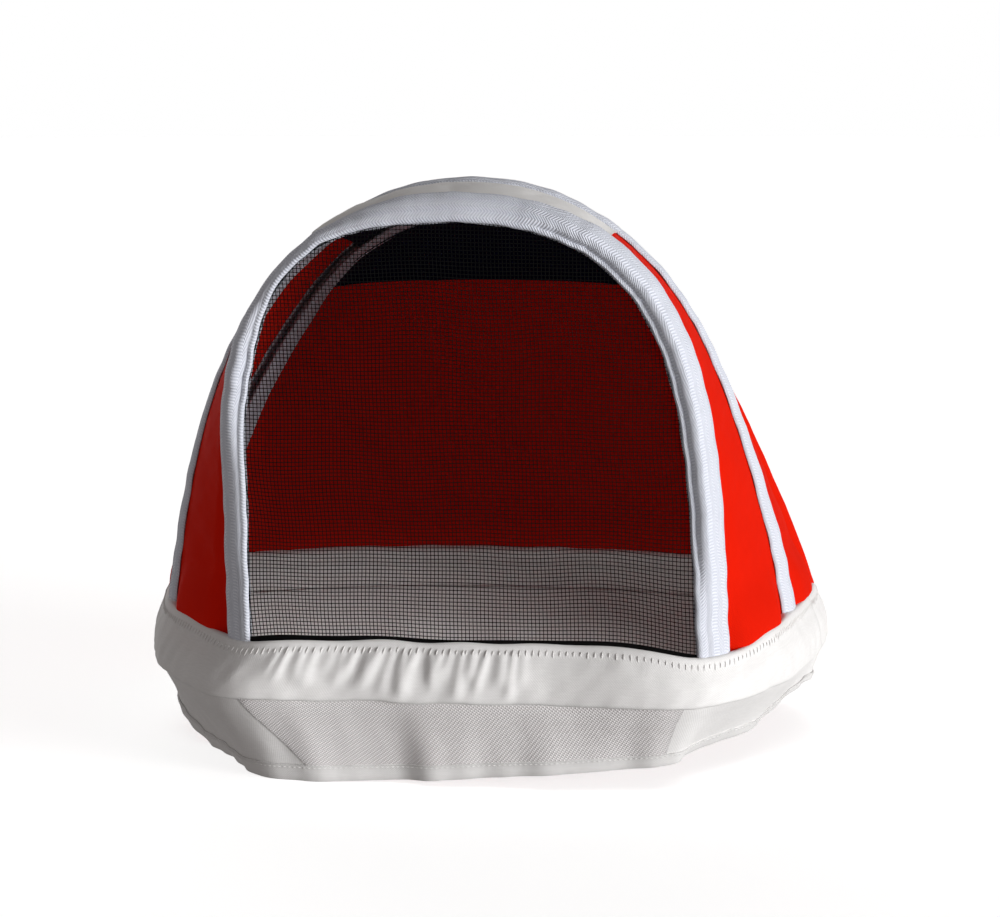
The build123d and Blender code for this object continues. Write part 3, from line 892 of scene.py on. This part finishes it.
# The cap starts this far forward under the rear tape, a little raised to meet it
CAP_LAP = 0.008
CAP_FRONT_LIFT = 0.0010
CAP_OVERHANG = 0.001
CAP_LINING_DROP = 0.0052


# The hood's outline over the wearer's left half at the back panel's front edge, from the top down
REAR_LINE = hood_row(BACK_EDGE_Y, BACK_EDGE_Y, np.linspace(0.5, 1.01, 200), 0.0)


def rear_width(z):
    """Half the hood's width at the back panel's front edge."""
    return np.interp(z, REAR_LINE[::-1, 2], REAR_LINE[::-1, 0])


def back_panel():
    rows, columns = 70, 240
    zs = np.linspace(BACK_BOTTOM_Z, BACK_TOP_Z, rows)[:, None]
    levels = spline(BACK_LEVELS, np.linspace(-0.04, 1.02, 200))
    depth = np.interp(zs, levels[:, 0], levels[:, 1])
    turn = np.linspace(0, math.pi, columns)[None, :]
    top = smooth_step(CAP_EDGE_Z - 0.002, CAP_EDGE_Z + 0.002, zs)
    x = -rear_width(zs) * np.cos(turn) * (1 - PANEL_TOP_INSET * top)
    y = BACK_EDGE_Y - 0.004 * (np.abs(np.cos(turn)) > 0.9999) + depth * np.sin(turn)
    grid = np.stack(np.broadcast_arrays(x, y, zs), axis=2)[::-1]
    along, across = own_metres(grid)
    middle = np.sin(turn) ** 0.5
    waves = 0.0011 * ripples(along, across, 0.07, 53, 0.5) * middle
    waves = waves + 0.0004 * ripples(along, across, 0.02, 59, 0.7)
    waves = waves * smooth_step(0.092, 0.115, grid[..., 2]) * (1 - smooth_step(0.262, 0.280, grid[..., 2]))
    grid = tucked(grid + normals_of(grid) * waves[:, :, None])
    sheet("back_panel_cloth", grid, CLOTH, "red_cotton", "rear_frame", "back_panel")


def crown_cap():
    rows, columns = 46, 150

    def shell(drop, thickness, slot, node):
        half = float(rear_width(CAP_EDGE_Z)) + CAP_OVERHANG - drop
        share = np.sin(np.linspace(-math.pi / 2, math.pi / 2, columns))[None, :]
        x = share * half
        rise = np.interp(np.abs(x), REAR_LINE[:, 0], REAR_LINE[:, 2]) - CAP_EDGE_Z - drop
        depth = CAP_EDGE_DEPTH * np.sqrt(np.maximum(1 - share**2, 0.0)) - drop
        bow = np.linspace(0, math.pi / 2, rows)[:, None]
        y = BACK_EDGE_Y - CAP_LAP + (np.maximum(depth, 0.0005) + CAP_LAP) * np.sin(bow) ** 1.15
        lift = CAP_FRONT_LIFT * (1 - smooth_step(0.10, 0.40, bow))
        z = CAP_EDGE_Z + np.maximum(rise, 0.0005) * np.cos(bow) ** 0.8 + lift
        grid = np.stack(np.broadcast_arrays(x, y, z), axis=2)
        along, across = own_metres(grid)
        calm = (1 - share**2) ** 0.5 * (1 - smooth_step(1.25, 1.50, bow)) * smooth_step(0.05, 0.30, bow)
        grid = grid + normals_of(grid) * (0.0008 * ripples(along, across, 0.04, 61, 0.8) * calm)[:, :, None]
        sheet(f"{node}_cloth", grid, thickness, slot, "rear_frame", node)

    shell(0.0, CLOTH, "canvas", "crown_cap")
    shell(CAP_LINING_DROP, LINING, "navy_lining", "crown_cap_lining")


# ---------------------------------------------------------------- veil

NET_PITCH = 0.00232
NET_RADIUS = 0.00030
VEIL_Y = middle_of("veil_net").y
VEIL_INSET = 0.0068
VEIL_LYING_INSET = 0.0026
VEIL_BOTTOM_Z = 0.0882
# The net bellies forward to the collar's edge at its bottom
VEIL_BELLY = 0.0012
VEIL_BOTTOM_BELLY = 0.0036
VEIL_HALF_WIDTH = 0.14
NET_POINTS = 30
BINDING_POINTS = 160
# The binding is folded round the net's bottom edge: depth behind the net, height above the edge
BINDING_FOLD = (
    (-0.0009, 0.0040), (-0.0011, 0.0030), (-0.0011, 0.0015), (-0.0010, 0.0), (-0.0006, -0.0010),
    (0.0, -0.0014), (0.0006, -0.0010), (0.0010, 0.0), (0.0011, 0.0015), (0.0011, 0.0030), (0.0009, 0.0040),
)


def sagging(x, z):
    """A point of the net's own plane, moved as the net hangs."""
    dx = 0.0009 * ripples(z, x, 0.09, 71, 0.6)
    dz = 0.0010 * ripples(x, z, 0.11, 73, 0.6)
    loose = 1 - smooth_step(0.245, 0.315, z)
    belly = VEIL_BELLY * loose + VEIL_BOTTOM_BELLY * (1 - smooth_step(0.095, 0.200, z))
    bow = np.cos(np.clip(x / VEIL_HALF_WIDTH, -1, 1) * math.pi / 2)
    dy = 0.0009 * ripples(x, z, 0.10, 79, 0.8) * loose - belly * bow
    return np.stack([x + dx, VEIL_Y + dy, z + dz], axis=1)


def veil():
    shares = np.linspace(0, 1, 401)
    inset = VEIL_INSET + (VEIL_LYING_INSET - VEIL_INSET) * lying(shares)
    edge = hood_row(FRONT_Y, FRONT_Y, shares, -inset)
    left_half = edge[200:][::-1]
    right_half = edge[:201]
    threads = []
    for z in np.arange(VEIL_BOTTOM_Z + NET_PITCH / 2, edge[200, 2] - NET_PITCH / 2, NET_PITCH):
        low = np.interp(z, right_half[:, 2], right_half[:, 0])
        high = np.interp(z, left_half[:, 2], left_half[:, 0])
        if high - low > 4 * NET_PITCH:
            x = np.linspace(low, high, NET_POINTS)
            threads.append(sagging(x, np.full(NET_POINTS, z)))
    half = edge[-1, 0]
    for x in np.arange(-half + NET_PITCH, half - NET_PITCH / 2, NET_PITCH):
        top = np.interp(x, edge[:, 0], edge[:, 2])
        z = np.linspace(VEIL_BOTTOM_Z, top, NET_POINTS)
        threads.append(sagging(np.full(NET_POINTS, x), z))
    piece = tube_piece("veil_mesh", threads, NET_RADIUS, 4, (0, 1, 0), "black_net", "front_frame")
    settle(piece, "veil_net")
    x = np.linspace(-half, half, BINDING_POINTS)
    level = np.full(BINDING_POINTS, VEIL_BOTTOM_Z)
    fold = np.array([sagging(x, level + rise) + (0, back, 0) for back, rise in BINDING_FOLD])
    sheet(
        "veil_binding_tape", fold, LINING, "black_net", "front_frame", "veil_binding"
    )


# ---------------------------------------------------------------- collar and skirt

RING_COLUMNS = 900
SKIRT_TOP_Z = 0.0600
SKIRT_PROFILE = (
    (0.0600, 0.0110, 0.0076), (0.0540, 0.0096, 0.0068), (0.0400, 0.0040, 0.0020),
    (0.0160, -0.0040, -0.0060), (0.0000, -0.0070, -0.0110),
)
# The hem is drawn in at the front corners: metres round the ring from the front's middle, depth, reach
CORNER_PULL = (0.190, 0.020, 0.070)
ARCH_RISE = 0.014
ARCH_RADIUS = 0.230
ARCH_Y = -0.008
HEM_TILT = 0.08
HEM_LIFT = 0.004
HEM_ROUNDING = 0.003


def share_where(condition):
    """The first share round the ring, from the front's middle, where a plan condition holds."""
    shares = np.linspace(0, 0.5, 4001)
    return float(shares[np.argmax(condition(ring_row(shares, 0.0, 0.0)))])


SIDE_SEAM = share_where(lambda p: p[:, 1] > -0.002)
KNIT_END = share_where(lambda p: p[:, 0] > 0.128)
SIDE_BACK = share_where(lambda p: p[:, 1] > 0.082)


# The pleats run between these places, in metres round the ring
GATHERED = (-0.112, 0.035)
PLEAT_HEIGHT = 0.0020


def gathers(shares, z):
    """Uneven pleats held by the veil's seam, which open out downwards."""
    random = np.random.default_rng(83)
    metres = shares * RING_LENGTH
    total = np.zeros(np.broadcast(metres, z).shape)
    place, last = GATHERED
    while place < last:
        width = random.uniform(0.0016, 0.0028)
        height = random.uniform(0.45, 1.0)
        lean = random.normal(0.0, 0.12)
        reach = random.uniform(0.010, 0.026)
        down = COLLAR_TOP_Z - z
        centre = place + lean * down
        opened = width * (1 + 1.2 * down / 0.03)
        profile = np.exp(-(((metres - centre) / opened) ** 2))
        pleat = height * profile * smooth_step(0.002, 0.008, down)
        total = total + pleat * (1 - smooth_step(reach, reach + 0.012, down))
        place += random.uniform(0.0055, 0.0095)
    return PLEAT_HEIGHT * total


RING_STEPS = np.diff(ring_row(np.linspace(0, 1, 2001), 0, 0), axis=0)
RING_LENGTH = float(np.sum(np.linalg.norm(RING_STEPS, axis=1)))


def hem_height(x, y):
    """The hem's height: arches over the shoulders, and hangs higher on the wearer's left."""
    round_top = np.sqrt(np.maximum(ARCH_RADIUS**2 - (y - ARCH_Y) ** 2, 0.0))
    arch = np.maximum(0.0, round_top + ARCH_RISE - ARCH_RADIUS)
    tilt = HEM_LIFT + HEM_TILT * x
    lifted = 0.5 * (tilt + np.sqrt(tilt**2 + HEM_ROUNDING**2))
    return arch + lifted * (1 - smooth_step(0.05, 0.13, y))


# How far the fold's inner layer stands in over the feet of each hoop: hoop, depth
FOOT_COVERS = ((FRONT_Y, 0.0045), (MIDDLE_Y, 0.0075), (REAR_Y, 0.0055))
FOOT_COVER_REACH = 0.020


def hoop_covers(shares):
    """How far the fold's inner layer stands further in, to cover the feet of the hoops."""
    place = ring_row(shares, 0.0, 0.0)
    covers = 0.0
    for hoop_y, depth in FOOT_COVERS:
        covers = covers + depth * np.exp(-(((place[:, 1] - hoop_y) / FOOT_COVER_REACH) ** 2))
    return covers * smooth_step(0.120, 0.138, np.abs(place[:, 0]))


def band_grid(shares):
    """The band's points, from the inside of its fold, over its top edge and down the outside to its seam."""
    profile = spline(BAND_PROFILE, np.linspace(0, 1, 64))
    wrapped = np.where(shares > 0.5, shares - 1, shares)
    rows = []
    for z, side, end, inset in profile:
        outside = 1 - smooth_step(0.0003, 0.0010, inset)
        calm = outside * (1 - smooth_step(COLLAR_TOP_Z - 0.010, COLLAR_TOP_Z - 0.001, z))
        waves = 0.0006 * ring_ripples(shares, z, 14, 89) + 0.0003 * ring_ripples(shares, z, 52, 97, 0.6)
        pleats = gathers(wrapped, z) * outside
        covers = hoop_covers(shares) * smooth_step(0.0005, 0.0021, inset)
        plan = ring_row(shares, side, end, waves * calm + pleats - inset - covers)
        level = z + 0.0005 * ring_ripples(shares, 0.0, 20, 101)
        rows.append(np.column_stack([plan, np.broadcast_to(level, len(shares))]))
    return np.array(rows)[::-1]


TICK_PITCH = 0.0040
TICK_TOP = 0.0030
TICK_LENGTHS = (0.0030, 0.0044)
TICK_RADIUS = 0.00036


def tick_stitches():
    """Short upright stitches round the collar, under its folded edge."""
    random = np.random.default_rng(103)
    shares = np.arange(0, 1 - TICK_PITCH / RING_LENGTH / 2, TICK_PITCH / RING_LENGTH)
    grid = band_grid(shares)
    normal = normals_of(grid)
    columns = np.arange(len(shares))
    outside = grid.shape[0] // 3

    def on_band(drop):
        depth = np.abs(grid[outside:, :, 2] - (COLLAR_TOP_Z - drop))
        row = outside + np.argmin(depth, axis=0)
        return grid[row, columns] + normal[row, columns] * CLOTH / 2, normal[row, columns]

    starts, outward = on_band(TICK_TOP)
    ends, _ = on_band(TICK_TOP + random.uniform(*TICK_LENGTHS, len(shares)))
    ticks = stitch_piece("collar_tick_stitches", starts, ends, outward, TICK_RADIUS, "collar")
    settle(ticks)


# The back of the collar passes under its front at the side seams. Lap and reach are shares of the ring
SIDE_LAP = 0.004
SIDE_LAP_DEPTH = 0.0011
SIDE_LAP_REACH = 0.006


def collar_band():
    ends = {"front": (-SIDE_SEAM, SIDE_SEAM), "back": (SIDE_SEAM - SIDE_LAP, 1 - SIDE_SEAM + SIDE_LAP)}
    for name, (start, end) in ends.items():
        shares = np.linspace(start, end, int(RING_COLUMNS * (end - start)))
        grid = band_grid(shares)
        if name == "back":
            lapped = np.exp(-np.minimum(shares - start, end - shares) / SIDE_LAP_REACH)
            grid = grid - normals_of(grid) * SIDE_LAP_DEPTH * lapped[None, :, None]
        node, hung_from = f"collar_{name}", ["front_tape", "rear_tape"]
        sheet(f"{node}_cloth", grid, CLOTH, "canvas", "collar", node)
    tick_stitches()


def skirt_row(shares, down, outward):
    """Points round the skirt at a share of its way down from the seam to the hem."""
    levels = spline(SKIRT_PROFILE, np.linspace(0, 1, 200))[::-1]
    loop, inward = with_outward(lambda t: ring_row(t, 0.0, 0.0), shares)
    z = SKIRT_TOP_Z + (hem_height(loop[:, 0], loop[:, 1]) - SKIRT_TOP_Z) * down
    side = np.interp(z, levels[:, 0], levels[:, 1])
    end = np.interp(z, levels[:, 0], levels[:, 2])
    wide = loop[:, 0] * (1 + side / RING_HALF_WIDTH)
    deep = RING_CENTRE_Y + (loop[:, 1] - RING_CENTRE_Y) * (1 + end / RING_HALF_DEPTH)
    place, depth, reach = CORNER_PULL
    metres = np.minimum(shares % 1.0, 1 - shares % 1.0) * RING_LENGTH
    pull = depth * np.exp(-(((metres - place) / reach) ** 2)) * down**1.3
    swing = (0.0026 * ring_ripples(shares, 0.0, 12, 107) + 0.0010 * ring_ripples(shares, z, 34, 109)) * down
    plan = np.column_stack([wide, deep]) - inward * (swing + outward - pull)[:, None]
    return np.column_stack([plan, z])


SKIRT_ROWS = 44
# Neighbouring panels lap by this share of the ring or twice it. The side panels lie this far inside
PANEL_LAP = 0.002
SIDE_PANEL_INSET = -0.0006
# Where the knit's edge on the wearer's right ends, in metres round the ring
KNIT_RIGHT = 0.086


def skirt_panel(name, starts, ends, columns, slot, outward):
    """A panel between a starting and an ending share, each given at the seam and at the hem."""
    down = np.linspace(0, 1, SKIRT_ROWS)
    grid = []
    for row_share in down:
        start = starts[0] + (starts[1] - starts[0]) * row_share
        end = ends[0] + (ends[1] - ends[0]) * row_share
        shares = np.linspace(start, end, columns)
        grid.append(skirt_row(shares, row_share, outward))
    sheet(f"{name}_cloth", np.array(grid), CLOTH, slot, "collar", name)


def skirt():
    right = KNIT_RIGHT / RING_LENGTH
    knit_end, side_back = KNIT_END + PANEL_LAP, SIDE_BACK + PANEL_LAP
    skirt_panel("skirt_front", (-knit_end, -right), (knit_end, knit_end), 360, "knit", 0.0)
    skirt_panel("skirt_left", (KNIT_END, KNIT_END), (side_back, side_back), 300, "canvas", SIDE_PANEL_INSET)
    right_ends = 1 - KNIT_END, 1 + 2 * PANEL_LAP - right
    skirt_panel("skirt_right", (1 - side_back, 1 - side_back), right_ends, 300, "canvas", SIDE_PANEL_INSET)
    skirt_panel("skirt_back", (SIDE_BACK, SIDE_BACK), (1 - SIDE_BACK, 1 - SIDE_BACK), 420, "canvas", 0.0)
    hem()


# The hem's fold: share of the way down the skirt, distance outward
HEM_PROFILE = ((0.82, 0.0006), (0.84, 0.0008), (0.90, 0.0009), (0.97, 0.0009), (1.0, 0.0008))
HEM_STITCH_ROW = 2


def hem():
    """The folded edge round the outside of the skirt, with its line of stitches."""
    shares = np.linspace(0.5, 1.5, RING_COLUMNS, endpoint=False)
    steps = spline(HEM_PROFILE, np.linspace(0, 1, 14))
    grid = np.array([skirt_row(shares, down, outward) for down, outward in steps])
    sheet("hem_fold", grid, TAPE, "canvas", "collar", "hem_band", wrap=True)
    normal = normals_of(grid)[HEM_STITCH_ROW]
    sew("hem_stitches", [(grid[HEM_STITCH_ROW] + normal * TAPE / 2, normal)], "collar")


# ---------------------------------------------------------------- studio

def stage_piece(name, vertices, faces, diffuse, glow):
    """Part of the studio: pale, with a glow of its own, so that it doesn't light the hood from below."""
    mesh = bpy.data.meshes.new(name)
    mesh.from_pydata(vertices, [], faces)
    piece = bpy.data.objects.new(name, mesh)
    bpy.context.scene.collection.objects.link(piece)
    paint = bpy.data.materials.new(f"{name}_paint")
    paint.use_nodes = True
    shader = paint.node_tree.nodes["Principled BSDF"]
    shader.inputs["Base Color"].default_value = (diffuse, diffuse, diffuse, 1)
    shader.inputs["Roughness"].default_value = 1.0
    shader.inputs["Specular IOR Level"].default_value = 0.0
    shader.inputs["Emission Color"].default_value = (1, 1, 1, 1)
    shader.inputs["Emission Strength"].default_value = glow
    mesh.materials.append(paint)
    piece.visible_diffuse = False
    piece.visible_glossy = False
    piece.visible_transmission = False
    piece.visible_shadow = False


# The camera's lens in millimetres on a 36 mm sensor, its place and what it looks at
LENS = 109.9
SENSOR_WIDTH = 36
CAMERA_PLACE = (0.2148, -1.9552, 0.4716)
CAMERA_AIM = (0.008, 0.012, 0.176)


def studio():
    sides, radius, height = 64, 9.0, 9.0
    turns = [2 * math.pi * i / sides for i in range(sides)]
    rim = [(radius * math.cos(t), radius * math.sin(t)) for t in turns]
    stage_piece("floor", [(x, y, 0) for x, y in rim], [list(range(sides))], 0.85, 0.74)
    wall = [[i, (i + 1) % sides, sides + (i + 1) % sides, sides + i] for i in range(sides)]
    both = [(x, y, 0) for x, y in rim] + [(x, y, height) for x, y in rim]
    stage_piece("backdrop", both, wall, 0.0, 1.0)

    world = bpy.data.worlds.new("studio")
    world.use_nodes = True
    tree = world.node_tree
    background = tree.nodes["Background"]
    background.inputs["Color"].default_value = (1.0, 0.94, 0.92, 1)
    toward = tree.nodes.new("ShaderNodeTexCoord")
    parts = tree.nodes.new("ShaderNodeSeparateXYZ")
    level = tree.nodes.new("ShaderNodeMath")
    level.operation = "ABSOLUTE"
    strength = tree.nodes.new("ShaderNodeMapRange")
    tree.links.new(toward.outputs["Generated"], parts.inputs[0])
    tree.links.new(parts.outputs[2], level.inputs[0])
    tree.links.new(level.outputs[0], strength.inputs["Value"])
    strength.inputs["To Min"].default_value = 0.35
    strength.inputs["To Max"].default_value = 0.12
    tree.links.new(strength.outputs[0], background.inputs["Strength"])
    bpy.context.scene.world = world

    def sun(name, toward, strength, spread):
        light = bpy.data.lights.new(name, "SUN")
        light.energy = strength
        light.angle = math.radians(spread)
        lamp = bpy.data.objects.new(name, light)
        lamp.rotation_euler = Vector(toward).to_track_quat("Z", "Y").to_euler()
        bpy.context.scene.collection.objects.link(lamp)

    sun("key", (0.90, -0.50, 0.06), 3.5, 30)
    sun("back_fill", (-0.25, 1.0, 0.10), 1.3, 50)

    lens = bpy.data.cameras.new("camera")
    lens.sensor_width = SENSOR_WIDTH
    lens.lens = LENS
    camera = bpy.data.objects.new("camera", lens)
    camera.location = CAMERA_PLACE
    aim = Vector(CAMERA_AIM) - camera.location
    camera.rotation_euler = aim.to_track_quat("-Z", "Y").to_euler()
    bpy.context.scene.collection.objects.link(camera)
    bpy.context.scene.camera = camera
    bpy.context.scene.view_settings.view_transform = "Standard"


hoops()
tapes()
gores_and_crown()
back_panel()
crown_cap()
veil()
collar_band()
skirt()
studio()
